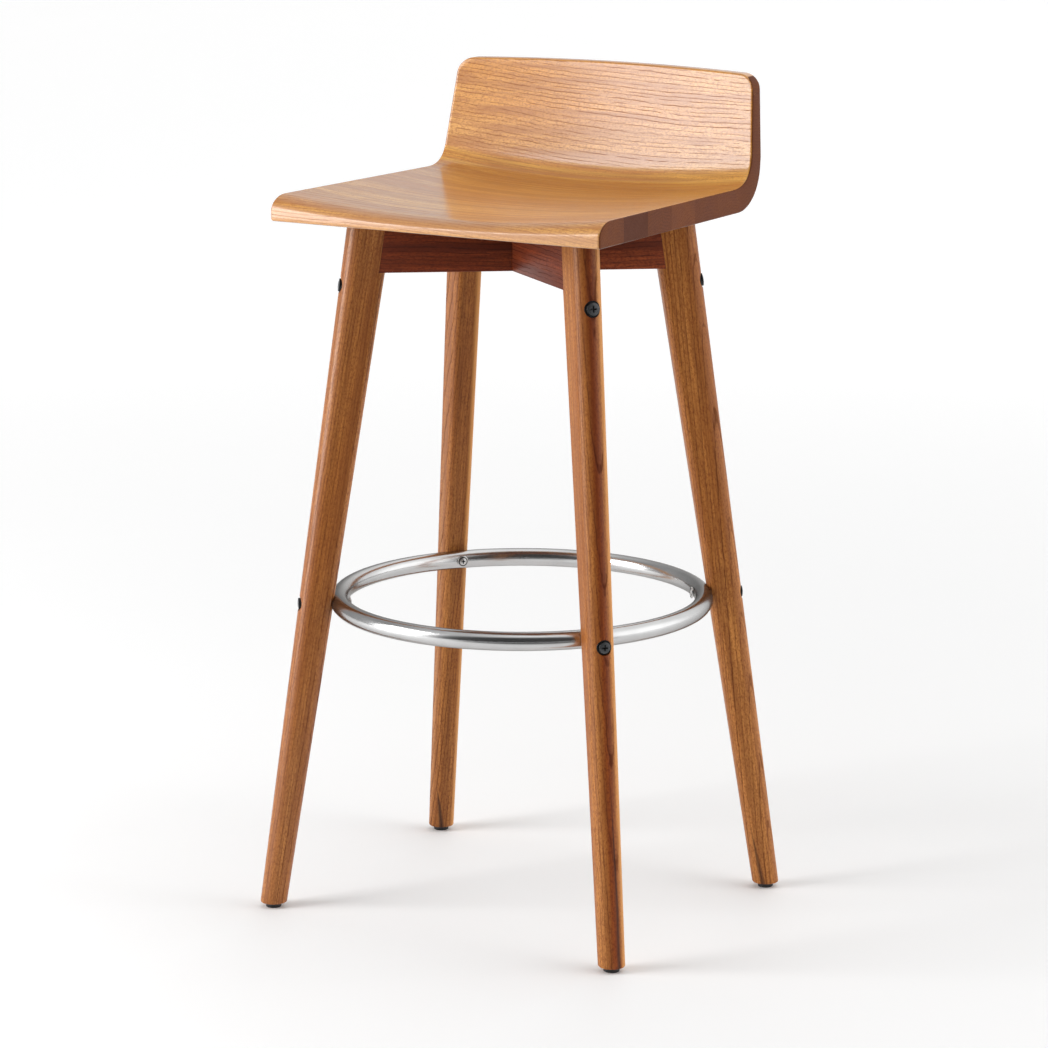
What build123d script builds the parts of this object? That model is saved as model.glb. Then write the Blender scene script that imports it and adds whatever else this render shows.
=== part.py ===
from build123d import *
import os
from math import atan2, cos, degrees, hypot, radians, sin, tan

# Bar stool with a low back: a dished one-piece seat on two crossed rails, four leaning
# legs and a round tube footrest. +Z is up and -Y is the front. The origin is on the floor,
# under the centre of the crossed rails. All lengths are in mm.

# Driving dimensions: seat
seat_underside = 715.5
seat_thickness = 26.0
seat_dish = 12.0
seat_front_y = -170.0
front_half_width = 189.0
bend_half_width = 183.0
nose_depth = 24.0
nose_share = 0.62
arris = 3.0

# Driving dimensions: back
back_top = 854.0
back_top_drop = 4.0
back_top_half_width = 175.0
back_sag = 9.5
bend_y = 121.0
inner_bend_radius = 26.0
outer_bend_radius = 46.0
inner_lean = 9.3
outer_lean = 6.3
back_corner_radius = 16.0
back_top_rounding = 4.0
section_count = 9

# Driving dimensions: legs
foot_x = 202.2
foot_y = 162.8
leg_lean_x = 0.112
leg_lean_y = 0.101
leg_top_depth = 45.0
leg_top_width = 29.0
leg_top_corner = 6.0
leg_foot_depth = 27.4
leg_foot_width = 26.6
leg_foot_corner = 12.5
leg_foot_chamfer = 1.2

# Driving dimensions: crossed rails and their tongues
rail_height = 55.0
shoulder_offset = -15.0
tongue_inner = -8.0
tongue_outer = 5.0
tongue_width = 16.0
tongue_drop = 36.0

# Driving dimensions: footrest ring
ring_height = 320.0
ring_radius = 187.0
ring_tube_diameter = 19.0
ring_wall = 1.5
ring_saddle_gap = 0.15
ring_joint_gap = 0.1
nut_seat_gap = 0.15

# Driving dimensions: fasteners
leg_bolt_drop = 13.5
bolt_shank = 6.0
bolt_clearance = 6.6
bolt_tip_gap = 0.5
bolt_flange_height = 1.3
leg_bolt_flange = 16.6
leg_bolt_head = 13.5
leg_bolt_head_height = 5.5
leg_counterbore = 17.0
leg_counterbore_depth = 4.0
ring_bolt_flange = 15.2
ring_bolt_head = 12.0
ring_bolt_head_height = 5.0
ring_counterbore = 15.6
ring_counterbore_depth = 4.0
insert_diameter = 9.0
insert_length = 11.0
sleeve_diameter = 8.0
sleeve_hole = 8.2
sleeve_clearance = 8.6
sleeve_head_diameter = 12.0
sleeve_head_height = 2.5
sleeve_reach = 4.0
sleeve_end_wall = 3.0
head_dome = 1.5
cross_length = 6.5
cross_width = 1.4
cross_depth = 1.8
seat_screw_radius = 95.0
seat_screw_shank = 4.2
seat_screw_clearance = 4.5
seat_screw_head = 9.0
seat_screw_head_height = 3.5
seat_screw_counterbore = 10.0
seat_screw_ledge = 25.5
seat_screw_bite = 9.5

# Driving dimensions: floor glides
glide_diameter = 16.0
glide_height = 5.0
glide_chamfer = 0.6
glide_screw_shank = 4.0
glide_screw_head = 8.0
glide_screw_head_height = 2.0
glide_screw_recess = 2.5
glide_screw_depth = 20.0

# Worked out from the driving dimensions
seat_top = seat_underside + seat_thickness
foot_radius = hypot(foot_x, foot_y)
rail_underside = seat_underside - rail_height
rail_middle = (rail_underside + seat_underside) / 2
tongue_bottom = rail_underside - tongue_drop
leg_bolt_height = rail_underside - leg_bolt_drop
ring_tube_radius = ring_tube_diameter / 2

corners = {
    "front_left": (-1, -1),
    "front_right": (1, -1),
    "back_right": (1, 1),
    "back_left": (-1, 1),
}

os.makedirs("parts", exist_ok=True)


def leg_centre(z):
    """Centre of the back right leg's level section at height z."""
    return (foot_x - leg_lean_x * z, foot_y - leg_lean_y * z)


def bearing(z):
    """Angle from the X axis to a leg's centre at height z."""
    across, along = leg_centre(z)
    return degrees(atan2(along, across))


def leg_axis_radius(z):
    """Distance of the leg's centre line from the stool's centre line, at height z."""
    return hypot(*leg_centre(z))


def leg_depth(z):
    """Size of the leg's level section along the radius, at height z."""
    share = (z - glide_height) / (seat_underside - glide_height)
    return leg_foot_depth + (leg_top_depth - leg_foot_depth) * share


# The rails point at the legs' centres half way up the rails, and set the leg bolts' lines
rail_angle = bearing(rail_middle)
ring_angle = bearing(ring_height)
leg_lean = (leg_axis_radius(tongue_bottom) - leg_axis_radius(seat_underside)) / (
    seat_underside - tongue_bottom
)
leg_tilt = degrees(atan2(leg_lean, 1))
slope = 1 / cos(radians(leg_tilt))
face_to_tongue = leg_depth(leg_bolt_height) / 2 / slope - tongue_outer


def outward(corner, angle):
    """Level direction from the centre line to one leg."""
    side_x, side_y = corners[corner]
    return Vector(side_x * cos(radians(angle)), side_y * sin(radians(angle)), 0)


def level_plane(corner, angle, radius, z):
    """Level plane at a distance from the centre line, with its X axis pointing outwards."""
    direction = outward(corner, angle)
    point = direction * radius + Vector(0, 0, z)
    return Plane(origin=point, x_dir=direction, z_dir=(0, 0, 1))


def bolt_plane(corner, angle, radius, z, tilt):
    """Plane whose Z axis points outwards along a bolt, tilted up by an angle."""
    direction = outward(corner, angle)
    axis = direction * cos(radians(tilt)) + Vector(0, 0, sin(radians(tilt)))
    point = direction * radius + Vector(0, 0, z)
    return Plane(origin=point, x_dir=axis.cross(Vector(0, 0, 1)), z_dir=axis)


def foot_plane(corner, z):
    """Level plane over the centre of a leg's foot, at height z."""
    return level_plane(corner, bearing(glide_height), leg_axis_radius(glide_height), z)


def leg_bolt_plane(corner):
    """Where a leg bolt's line leaves the leg's outer face, square to that face's slope."""
    radius = leg_axis_radius(leg_bolt_height) + leg_depth(leg_bolt_height) / 2
    return bolt_plane(corner, rail_angle, radius, leg_bolt_height, leg_tilt)


def ring_bolt_plane(corner):
    """Where a ring bolt's level line leaves the leg's outer face."""
    radius = leg_axis_radius(ring_height) + leg_depth(ring_height) / 2
    return bolt_plane(corner, ring_angle, radius, ring_height, 0)


def finish(part, name):
    """Label one finished piece and write it."""
    part.label = name
    export_step(part, f"parts/{name}.step")


def rounded_corner(start, corner, end):
    """Curve from start to end that rounds off a corner."""
    pull = 0.55
    first = Vector(start) + (Vector(corner) - Vector(start)) * pull
    second = Vector(end) + (Vector(corner) - Vector(end)) * pull
    return Bezier(start, first, second, end)


def shell_profile(x):
    """Side profile of the seat and back, x mm from the middle of the stool."""
    share = 1 - (x / front_half_width) ** 2
    top = seat_top - seat_dish * share
    bend = bend_y + back_sag * share
    crest = back_top - back_top_drop * (1 - share)
    inner_z = top + inner_bend_radius
    outer_z = seat_underside + outer_bend_radius
    inner_start = (
        bend + inner_bend_radius * cos(radians(inner_lean)),
        inner_z - inner_bend_radius * sin(radians(inner_lean)),
    )
    outer_start = (
        bend + outer_bend_radius * cos(radians(outer_lean)),
        outer_z - outer_bend_radius * sin(radians(outer_lean)),
    )

    def inner_at(z):
        return (inner_start[0] + (z - inner_start[1]) * tan(radians(inner_lean)), z)

    def outer_at(z):
        return (outer_start[0] + (z - outer_start[1]) * tan(radians(outer_lean)), z)

    outer_crest = outer_at(crest)
    inner_crest = inner_at(crest)
    outer_rounded = (outer_crest[0] - back_top_rounding, crest)
    inner_rounded = (inner_crest[0] + back_top_rounding, crest)
    nose_start = (seat_front_y + nose_depth, top)
    nose_end = (seat_front_y, top - nose_share * (top - seat_underside))
    front_foot = (seat_front_y, seat_underside + arris)
    under_front = (seat_front_y + arris, seat_underside)
    with BuildSketch(Plane.YZ.offset(x)) as profile:
        with BuildLine():
            Line(under_front, (bend, seat_underside))
            CenterArc((bend, outer_z), outer_bend_radius, -90, 90 - outer_lean)
            Line(outer_start, outer_at(crest - back_top_rounding))
            rounded_corner(outer_at(crest - back_top_rounding), outer_crest, outer_rounded)
            Line(outer_rounded, inner_rounded)
            rounded_corner(inner_rounded, inner_crest, inner_at(crest - back_top_rounding))
            Line(inner_at(crest - back_top_rounding), inner_start)
            CenterArc((bend, inner_z), inner_bend_radius, -inner_lean, inner_lean - 90)
            Line((bend, top), nose_start)
            rounded_corner(nose_start, (seat_front_y, top), nose_end)
            Line(nose_end, front_foot)
            rounded_corner(front_foot, (seat_front_y, seat_underside), under_front)
        make_face()
    return profile.sketch


def leg_section(corner, z, depth, width, corner_radius):
    """Level section of a leg: half-round outside, flat sides, rounded inner corners."""
    inner = -depth / 2
    side = width / 2
    round_start = depth / 2 - side
    bend = corner_radius * (1 - cos(radians(45)))
    level = level_plane(corner, bearing(z), leg_axis_radius(z), z)
    with BuildSketch(level) as section:
        with BuildLine():
            Line((round_start, side), (inner + corner_radius, side))
            ThreePointArc(
                (inner + corner_radius, side),
                (inner + bend, side - bend),
                (inner, side - corner_radius),
            )
            Line((inner, side - corner_radius), (inner, corner_radius - side))
            ThreePointArc(
                (inner, corner_radius - side),
                (inner + bend, bend - side),
                (inner + corner_radius, -side),
            )
            Line((inner + corner_radius, -side), (round_start, -side))
            ThreePointArc((round_start, -side), (depth / 2, 0), (round_start, side))
        make_face()
    return section.sketch


def upright_outline(corner, points):
    """Closed outline in the upright plane through the centre line and one leg."""
    direction = outward(corner, rail_angle)
    upright = Plane(
        origin=(0, 0, 0), x_dir=direction, z_dir=direction.cross(Vector(0, 0, 1))
    )
    with BuildSketch(upright) as outline:
        with BuildLine():
            Polyline(*points, close=True)
        make_face()
    return outline.sketch


def beside_leg(offset, z):
    """Point at height z in the upright plane, set off square from the leg's centre line."""
    return (leg_axis_radius(z) + offset * slope, z)


# Outlines that the rails and the legs share, in the upright plane
rail_arm = [
    (0, rail_underside),
    beside_leg(shoulder_offset, rail_underside),
    beside_leg(shoulder_offset, seat_underside),
    (0, seat_underside),
]
tongue = [
    beside_leg(shoulder_offset, seat_underside),
    beside_leg(shoulder_offset, rail_underside),
    beside_leg(tongue_inner, rail_underside),
    beside_leg(tongue_inner, tongue_bottom),
    beside_leg(tongue_outer, tongue_bottom),
    beside_leg(tongue_outer, seat_underside),
]

# Seat and back: one solid shell, dished across its width
sections = []
for index in range(section_count):
    share = 2 * index / (section_count - 1) - 1
    sections.append(shell_profile(share * front_half_width))

with BuildPart() as seat_shell:
    loft(sections)
    with BuildSketch(Plane.XZ) as front_outline:
        with BuildLine():
            Polyline(
                (-front_half_width, seat_underside - arris),
                (-front_half_width, seat_top),
                (-bend_half_width, seat_top + inner_bend_radius),
                (-back_top_half_width, back_top),
                (back_top_half_width, back_top),
                (bend_half_width, seat_top + inner_bend_radius),
                (front_half_width, seat_top),
                (front_half_width, seat_underside - arris),
                close=True,
            )
        make_face()
        fillet(front_outline.vertices().group_by(Axis.Z)[-1], back_corner_radius)
    extrude(amount=2 * front_half_width, both=True, mode=Mode.INTERSECT)
    with BuildSketch(Plane.XY.offset(seat_underside - arris)):
        with BuildLine():
            Polyline(
                (-front_half_width, seat_front_y - arris),
                (-bend_half_width, bend_y),
                (-bend_half_width, 2 * bend_y),
                (bend_half_width, 2 * bend_y),
                (bend_half_width, bend_y),
                (front_half_width, seat_front_y - arris),
                close=True,
            )
        make_face()
    extrude(amount=back_top - seat_underside + 2 * arris, mode=Mode.INTERSECT)
    for corner in corners:
        with BuildSketch(level_plane(corner, rail_angle, seat_screw_radius, seat_underside)):
            Circle(seat_screw_shank / 2)
        extrude(amount=seat_screw_bite, mode=Mode.SUBTRACT)
finish(seat_shell.part, "seat_shell")

# Crossed rails: halved over each other at the centre, with a hanging tongue at each end
rail_ends = {
    "lower_cross_rail": ("front_left", "back_right"),
    "upper_cross_rail": ("front_right", "back_left"),
}
for name, ends in rail_ends.items():
    other_end = "front_right" if name == "lower_cross_rail" else "front_left"
    notch_base = rail_middle if name == "lower_cross_rail" else rail_underside
    with BuildPart() as rail:
        for corner in ends:
            extrude(upright_outline(corner, rail_arm), amount=leg_top_width / 2, both=True)
            extrude(upright_outline(corner, tongue), amount=tongue_width / 2, both=True)
        with BuildSketch(level_plane(other_end, rail_angle, 0, notch_base)):
            Rectangle(2 * foot_radius, leg_top_width)
        extrude(amount=rail_height / 2, mode=Mode.SUBTRACT)
        for corner in ends:
            with BuildSketch(level_plane(corner, rail_angle, seat_screw_radius, rail_underside)):
                Circle(seat_screw_clearance / 2)
            extrude(amount=rail_height, mode=Mode.SUBTRACT)
            with BuildSketch(level_plane(corner, rail_angle, seat_screw_radius, rail_underside)):
                Circle(seat_screw_counterbore / 2)
            extrude(amount=rail_height - seat_screw_ledge, mode=Mode.SUBTRACT)
            with BuildSketch(leg_bolt_plane(corner)):
                Circle(insert_diameter / 2)
            extrude(amount=-(face_to_tongue + insert_length), mode=Mode.SUBTRACT)
    finish(rail.part, name)

# Legs
for corner in corners:
    with BuildPart() as leg:
        loft(
            [
                leg_section(
                    corner,
                    glide_height,
                    leg_foot_depth,
                    leg_foot_width,
                    leg_foot_corner,
                ),
                leg_section(
                    corner, seat_underside, leg_top_depth, leg_top_width, leg_top_corner
                ),
            ]
        )
        chamfer(leg.faces().sort_by(Axis.Z)[0].edges(), leg_foot_chamfer)
        extrude(
            upright_outline(corner, rail_arm),
            amount=leg_top_width,
            both=True,
            mode=Mode.SUBTRACT,
        )
        extrude(
            upright_outline(corner, tongue),
            amount=tongue_width / 2,
            both=True,
            mode=Mode.SUBTRACT,
        )
        with BuildSketch(leg_bolt_plane(corner).offset(-leg_counterbore_depth)):
            Circle(leg_counterbore / 2)
        extrude(amount=leg_counterbore, mode=Mode.SUBTRACT)
        with BuildSketch(leg_bolt_plane(corner)):
            Circle(bolt_clearance / 2)
        extrude(amount=-leg_depth(leg_bolt_height) / 2, mode=Mode.SUBTRACT)
        with BuildSketch(ring_bolt_plane(corner).offset(-ring_counterbore_depth)):
            Circle(ring_counterbore / 2)
        extrude(amount=ring_counterbore, mode=Mode.SUBTRACT)
        with BuildSketch(ring_bolt_plane(corner)):
            Circle(bolt_clearance / 2)
        extrude(amount=-leg_top_depth, mode=Mode.SUBTRACT)
        with BuildSketch(bolt_plane(corner, ring_angle, ring_radius, ring_height, 0)):
            Circle(sleeve_clearance / 2)
        extrude(amount=ring_tube_radius + sleeve_reach, mode=Mode.SUBTRACT)
        with Locations((0, 0, ring_height)):
            Torus(ring_radius, ring_tube_radius + ring_saddle_gap, mode=Mode.SUBTRACT)
        with BuildSketch(foot_plane(corner, glide_height)):
            Circle(glide_screw_shank / 2)
        extrude(amount=glide_screw_depth, mode=Mode.SUBTRACT)
    finish(leg.part, f"leg_{corner}")

# Footrest: a tube bent into a ring, its ends meeting at the back, drilled at each leg
ring_start = Plane(origin=(0, 0, 0), x_dir=(0, 1, 0), z_dir=(1, 0, 0))
with BuildPart() as footrest_ring:
    with BuildSketch(ring_start):
        with Locations((ring_radius, ring_height)):
            Circle(ring_tube_radius)
            Circle(ring_tube_radius - ring_wall, mode=Mode.SUBTRACT)
    revolve(axis=Axis.Z, revolution_arc=360 - degrees(ring_joint_gap / ring_radius))
    for corner in corners:
        with BuildSketch(bolt_plane(corner, ring_angle, 0, ring_height, 0)):
            Circle(sleeve_hole / 2)
        extrude(amount=ring_radius + ring_tube_diameter, mode=Mode.SUBTRACT)
finish(footrest_ring.part, "footrest_ring")


def end_edges(part, plane):
    """Edges round the face that lies furthest along a plane's Z axis."""
    along = Axis(plane.origin, plane.z_dir)
    return part.faces().sort_by(along)[-1].edges()


def cross_outline(plane):
    """Sketch of a cross-shaped driver recess."""
    with BuildSketch(plane) as cross:
        Rectangle(cross_length, cross_width)
        Rectangle(cross_width, cross_length)
    return cross.sketch


# Bolts, inserts, nuts, screws and glides, one set for each leg
for corner in corners:
    seat_of_head = leg_bolt_plane(corner).offset(-leg_counterbore_depth)
    tongue_face = leg_bolt_plane(corner).offset(-face_to_tongue)
    shank_reach = face_to_tongue - leg_counterbore_depth + insert_length - bolt_tip_gap

    with BuildPart() as leg_bolt:
        with BuildSketch(seat_of_head):
            Circle(leg_bolt_head / 2)
        extrude(amount=leg_bolt_head_height)
        fillet(end_edges(leg_bolt, seat_of_head), head_dome)
        with BuildSketch(seat_of_head):
            Circle(leg_bolt_flange / 2)
        extrude(amount=bolt_flange_height)
        with BuildSketch(seat_of_head):
            Circle(bolt_shank / 2)
        extrude(amount=-shank_reach)
        crown = seat_of_head.offset(leg_bolt_head_height)
        extrude(cross_outline(crown), amount=-cross_depth, mode=Mode.SUBTRACT)
    finish(leg_bolt.part, f"leg_bolt_{corner}")

    with BuildPart() as insert:
        with BuildSketch(tongue_face):
            Circle(insert_diameter / 2)
            Circle(bolt_shank / 2, mode=Mode.SUBTRACT)
        extrude(amount=-insert_length)
    finish(insert.part, f"tongue_insert_{corner}")

    head_seat = ring_bolt_plane(corner).offset(-ring_counterbore_depth)
    ring_centre = bolt_plane(corner, ring_angle, ring_radius, ring_height, 0)
    inner_face = ring_centre.offset(-ring_tube_radius - nut_seat_gap)
    sleeve_length = ring_tube_diameter + nut_seat_gap + sleeve_reach
    sleeve_bore = sleeve_length - sleeve_end_wall
    bolt_reach = (
        leg_axis_radius(ring_height)
        + leg_depth(ring_height) / 2
        - ring_counterbore_depth
        - ring_radius
        + ring_tube_radius
        + nut_seat_gap
        - sleeve_end_wall
        - bolt_tip_gap
    )

    with BuildPart() as ring_bolt:
        with BuildSketch(head_seat):
            Circle(ring_bolt_head / 2)
        extrude(amount=ring_bolt_head_height)
        fillet(end_edges(ring_bolt, head_seat), head_dome)
        with BuildSketch(head_seat):
            Circle(ring_bolt_flange / 2)
        extrude(amount=bolt_flange_height)
        with BuildSketch(head_seat):
            Circle(bolt_shank / 2)
        extrude(amount=-bolt_reach)
        crown = head_seat.offset(ring_bolt_head_height)
        extrude(cross_outline(crown), amount=-cross_depth, mode=Mode.SUBTRACT)
    finish(ring_bolt.part, f"ring_bolt_{corner}")

    with BuildPart() as sleeve_nut:
        with BuildSketch(inner_face):
            Circle(sleeve_head_diameter / 2)
        extrude(amount=-sleeve_head_height)
        fillet(end_edges(sleeve_nut, -inner_face), head_dome)
        with BuildSketch(inner_face):
            Circle(sleeve_diameter / 2)
        extrude(amount=sleeve_length)
        with BuildSketch(inner_face.offset(sleeve_length)):
            Circle(bolt_shank / 2)
        extrude(amount=-sleeve_bore, mode=Mode.SUBTRACT)
        crown = inner_face.offset(-sleeve_head_height)
        extrude(cross_outline(crown), amount=cross_depth, mode=Mode.SUBTRACT)
    finish(sleeve_nut.part, f"ring_nut_{corner}")

    ledge = level_plane(corner, rail_angle, seat_screw_radius, seat_underside - seat_screw_ledge)

    with BuildPart() as seat_screw:
        with BuildSketch(ledge):
            Circle(seat_screw_head / 2)
        extrude(amount=-seat_screw_head_height)
        fillet(seat_screw.faces().sort_by(Axis.Z)[0].edges(), head_dome)
        with BuildSketch(ledge):
            Circle(seat_screw_shank / 2)
        extrude(amount=seat_screw_ledge + seat_screw_bite)
        crown = ledge.offset(-seat_screw_head_height)
        extrude(cross_outline(crown), amount=cross_depth, mode=Mode.SUBTRACT)
    finish(seat_screw.part, f"seat_screw_{corner}")

    floor = foot_plane(corner, 0)

    with BuildPart() as glide:
        with BuildSketch(floor):
            Circle(glide_diameter / 2)
        extrude(amount=glide_height)
        chamfer(glide.faces().sort_by(Axis.Z)[0].edges(), glide_chamfer)
        with BuildSketch(floor):
            Circle(glide_screw_head / 2)
        extrude(amount=glide_screw_recess, mode=Mode.SUBTRACT)
        with BuildSketch(floor):
            Circle(glide_screw_shank / 2)
        extrude(amount=glide_height, mode=Mode.SUBTRACT)
    finish(glide.part, f"glide_{corner}")

    with BuildPart() as glide_screw:
        with BuildSketch(floor.offset(glide_screw_recess - glide_screw_head_height)):
            Circle(glide_screw_head / 2)
        extrude(amount=glide_screw_head_height)
        with BuildSketch(floor.offset(glide_screw_recess)):
            Circle(glide_screw_shank / 2)
        extrude(amount=glide_height - glide_screw_recess + glide_screw_depth)
    finish(glide_screw.part, f"glide_screw_{corner}")
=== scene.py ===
from dataclasses import dataclass
from math import atan2, cos, hypot, pi, radians, sin, sqrt, tan

import bmesh
import bpy
from mathutils import Matrix, Vector


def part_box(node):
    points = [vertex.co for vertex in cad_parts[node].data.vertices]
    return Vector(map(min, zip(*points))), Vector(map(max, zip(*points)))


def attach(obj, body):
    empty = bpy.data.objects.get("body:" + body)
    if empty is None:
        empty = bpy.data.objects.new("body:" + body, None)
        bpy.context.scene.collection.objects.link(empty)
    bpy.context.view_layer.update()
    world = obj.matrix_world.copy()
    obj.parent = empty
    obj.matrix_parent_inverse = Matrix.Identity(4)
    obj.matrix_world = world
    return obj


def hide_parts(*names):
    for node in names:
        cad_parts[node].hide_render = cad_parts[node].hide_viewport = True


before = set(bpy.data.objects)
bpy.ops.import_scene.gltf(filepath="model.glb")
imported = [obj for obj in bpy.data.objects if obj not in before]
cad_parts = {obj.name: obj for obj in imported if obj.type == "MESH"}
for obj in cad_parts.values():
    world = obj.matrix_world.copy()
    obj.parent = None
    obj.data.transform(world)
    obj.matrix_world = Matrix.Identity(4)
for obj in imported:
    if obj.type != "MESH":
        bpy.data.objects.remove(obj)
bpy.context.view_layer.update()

# A bar stool: dished seat shell with a low back, crossed rails, four leaning legs and a
# steel footrest ring. Shapes are worked out in mm in the CAD's frame and written in metres.

MM = 0.001


def mm_box(node):
    """Lowest and highest corners of a CAD node, in mm."""
    low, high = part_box(node)
    return low / MM, high / MM


# Places read from the CAD
SEAT_LOW, SEAT_HIGH = mm_box("seat_shell")
RING_LOW, RING_HIGH = mm_box("footrest_ring")
GLIDE_LOW, GLIDE_HIGH = mm_box("glide_back_right")
RAIL_LOW, _ = mm_box("lower_cross_rail")

UNDERSIDE = SEAT_LOW.z
SEAT_THICKNESS = 26.0
SEAT_TOP = UNDERSIDE + SEAT_THICKNESS
SEAT_DISH = 12.0
FRONT_Y = SEAT_LOW.y
FRONT_HALF_WIDTH = 189.0
BEND_HALF_WIDTH = 183.0
TOP_HALF_WIDTH = 175.0
NOSE_DEPTH = 24.0
NOSE_SHARE = 0.62
ARRIS = 3.0
BACK_TOP = SEAT_HIGH.z
BACK_TOP_DROP = 4.0
BACK_SAG = 9.5
BEND_Y = 121.0
INNER_BEND_RADIUS = 26.0
INNER_BEND_REACH = 35.0
INNER_BEND_PULL = 0.75
OUTER_BEND_RADIUS = 46.0
INNER_LEAN = radians(9.3)
OUTER_LEAN = radians(6.3)
CREST_ROUNDING = 2.2
CORNER_RADIUS = 17.0
SIDE_ROUNDING = 2.4
ROUNDING_PULL = 0.55
STAVE_WIDTH = 49.0
FIRST_JOINT_Y = -171.0
END_GRAIN_TURN = 0.5

FOOT = (GLIDE_LOW + GLIDE_HIGH) / 2
GLIDE_HEIGHT = GLIDE_HIGH.z
GLIDE_RADIUS = (GLIDE_HIGH.x - GLIDE_LOW.x) / 2
LEG_LEAN_X = 0.112
LEG_LEAN_Y = 0.101
LEG_TOP_DEPTH = 45.0
LEG_TOP_WIDTH = 29.0
LEG_TOP_CORNER = 6.0
LEG_FOOT_DEPTH = 27.4
LEG_FOOT_WIDTH = 26.6
LEG_FOOT_CORNER = 12.5
LEG_FOOT_ROUNDING = 1.4
LEG_STEPS = 96
ABOVE_LEG = 6.0

RAIL_HEIGHT = 55.0
RAIL_UNDERSIDE = UNDERSIDE - RAIL_HEIGHT
RAIL_MIDDLE = UNDERSIDE - RAIL_HEIGHT / 2
SHOULDER_OFFSET = -15.0
TONGUE_INNER = -8.0
TONGUE_OUTER = 5.0
TONGUE_WIDTH = 16.0
TONGUE_BOTTOM = RAIL_LOW.z
RAIL_ARRIS = 0.7
NOTCH_REACH = 300.0

RING_TUBE = (RING_HIGH.z - RING_LOW.z) / 2
RING_HEIGHT = (RING_HIGH.z + RING_LOW.z) / 2
RING_RADIUS = RING_HIGH.x - RING_TUBE
RING_STEPS = 288
SADDLE_SPREAD = radians(11)
SADDLE_GAP = 0.15

LEG_BOLT_HEIGHT = RAIL_UNDERSIDE - 13.5
LEG_COUNTERBORE = 8.5
RING_COUNTERBORE = 7.8
COUNTERBORE_DEPTH = 4.0
COUNTERBORE_ARRIS = 0.35
BOLT_CLEARANCE = 3.3
SEAT_SCREW_RADIUS = 95.0
SEAT_SCREW_LEDGE = 25.5
SEAT_SCREW_BORE = 5.0
SEAT_SCREW_CLEARANCE = 2.25

CORNERS = {
    "front_left": (-1, -1),
    "front_right": (1, -1),
    "back_right": (1, 1),
    "back_left": (-1, 1),
}


# -------- pieces and meshes


def new_object(name, bm):
    """Object from a mesh built in mm."""
    bmesh.ops.recalc_face_normals(bm, faces=bm.faces)
    mesh = bpy.data.meshes.new(name)
    bm.to_mesh(mesh)
    bm.free()
    mesh.transform(Matrix.Scale(MM, 4))
    obj = bpy.data.objects.new(name, mesh)
    bpy.context.scene.collection.objects.link(obj)
    return obj


def smooth(obj, angle):
    """Smooth shading, with edges sharper than the angle kept crisp."""
    obj.data.shade_smooth()
    obj.data.set_sharp_from_angle(angle=radians(angle))


def bake_modifiers(obj):
    """Applies every modifier on an object."""
    bpy.context.view_layer.update()
    graph = bpy.context.evaluated_depsgraph_get()
    mesh = bpy.data.meshes.new_from_object(obj.evaluated_get(graph))
    old = obj.data
    obj.modifiers.clear()
    obj.data = mesh
    bpy.data.meshes.remove(old)


def combine(obj, tools, operation="DIFFERENCE"):
    """Cuts the tools out of an object, or joins them to it, and removes the tools."""
    for tool in tools:
        step = obj.modifiers.new("combine", "BOOLEAN")
        step.operation = operation
        step.solver = "EXACT"
        step.object = tool
    bake_modifiers(obj)
    for tool in tools:
        mesh = tool.data
        bpy.data.objects.remove(tool)
        bpy.data.meshes.remove(mesh)


def loop_faces(bm, first, second):
    """Faces between two closed loops of as many vertices."""
    count = len(first)
    turns = [(i, (i + 1) % count) for i in range(count)]
    return [bm.faces.new((first[i], first[j], second[j], second[i])) for i, j in turns]


def lathe(bm, profile, place, segments):
    """Turned shape: profile holds (radius, height) from one end of the axis to the other."""
    loops = []
    for radius, height in profile:
        if radius == 0:
            loops.append([bm.verts.new(place @ Vector((0, 0, height)))])
            continue
        loop = []
        for i in range(segments):
            angle = 2 * pi * i / segments
            point = Vector((radius * cos(angle), radius * sin(angle), height))
            loop.append(bm.verts.new(place @ point))
        loops.append(loop)
    for first, second in zip(loops, loops[1:]):
        if len(first) == 1 or len(second) == 1:
            hub, rim = (first, second) if len(first) == 1 else (second, first)
            for i in range(segments):
                bm.faces.new((hub[0], rim[i], rim[(i + 1) % segments]))
        else:
            loop_faces(bm, first, second)


def turned(name, profile, place, segments=48):
    """Turned object."""
    bm = bmesh.new()
    lathe(bm, profile, place, segments)
    return new_object(name, bm)


SOFT = True


def rounded(profile, radius):
    """Profile of (radius, height) points, with each corner marked SOFT rounded."""
    steps = 4
    out = []
    for i, (r, h, *soft) in enumerate(profile):
        here = Vector((r, h))
        if not soft:
            out.append((r, h))
            continue
        before = (Vector(profile[i - 1][:2]) - here).normalized() * radius
        after = (Vector(profile[i + 1][:2]) - here).normalized() * radius
        for k in range(steps + 1):
            t = k / steps
            point = here + before * (1 - t) ** 2 + after * t**2
            out.append((point.x, point.y))
    return out


def lofted(name, loops, closed=False):
    """Object skinned over loops of points, with its ends filled or joined to each other."""
    bm = bmesh.new()
    rings = [[bm.verts.new(point) for point in loop] for loop in loops]
    for first, second in zip(rings, rings[1:] + (rings[:1] if closed else [])):
        loop_faces(bm, first, second)
    if not closed:
        bm.faces.new(rings[0])
        bm.faces.new(rings[-1])
    return new_object(name, bm)


def prism(name, outline, direction, half_width):
    """Upright prism: outline holds (distance along direction, height)."""
    aside = direction.cross(Vector((0, 0, 1)))
    loops = []
    for side in (-half_width, half_width):
        loops.append([direction * r + aside * side + Vector((0, 0, z)) for r, z in outline])
    return lofted(name, loops)


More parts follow.
